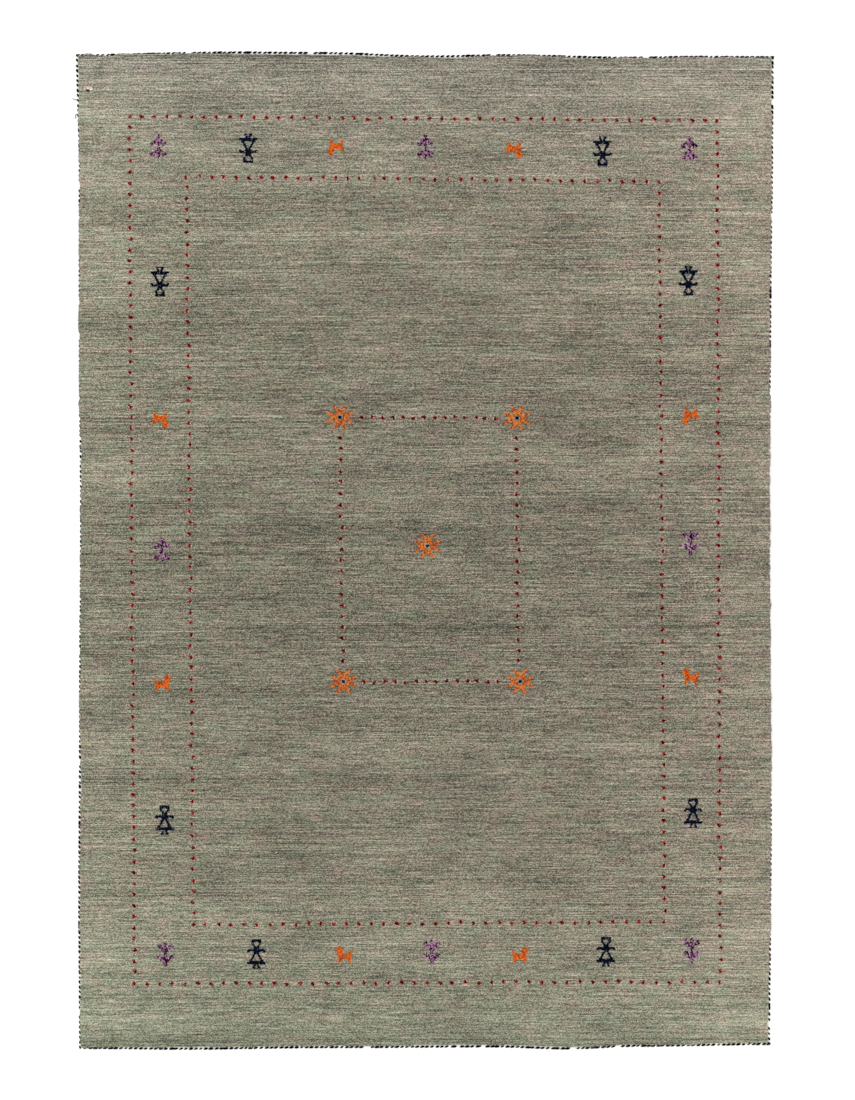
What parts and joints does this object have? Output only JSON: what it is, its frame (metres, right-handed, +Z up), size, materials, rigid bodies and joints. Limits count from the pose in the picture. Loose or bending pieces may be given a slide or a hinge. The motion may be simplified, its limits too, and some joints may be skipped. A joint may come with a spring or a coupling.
{
  "type": "gabbeh rug",
  "caption": "Flat hand-knotted wool floor rug with a soft low pile, overcast corded edges and small traditional tribal motifs in dotted borders.",
  "frame": {"origin": "centre of the flat underside, on the floor", "axes": "+X across the width, +Y along the length towards the upper end, +Z up through the pile"},
  "size_m": [1.6128, 2.3078, 0.0127],
  "materials": {
    "wool_pile": "hand-knotted matte wool pile, streaked grey-green",
    "edge_cotton": "undyed matte cotton",
    "edge_stitch": "dark overcast wool yarn",
    "knots_blue": "matte wool pile",
    "knots_orange": "matte wool pile",
    "knots_purple": "matte wool pile",
    "knots_red": "matte wool pile",
    "knots_maroon": "matte wool pile",
    "knots_pale": "matte wool pile"
  },
  "bodies": {
    "root": {"rug_field": "wool_pile", "binding_left": "edge_cotton", "binding_right": "edge_cotton", "binding_upper": "edge_cotton", "binding_lower": "edge_cotton"}
  },
  "joints": []
}
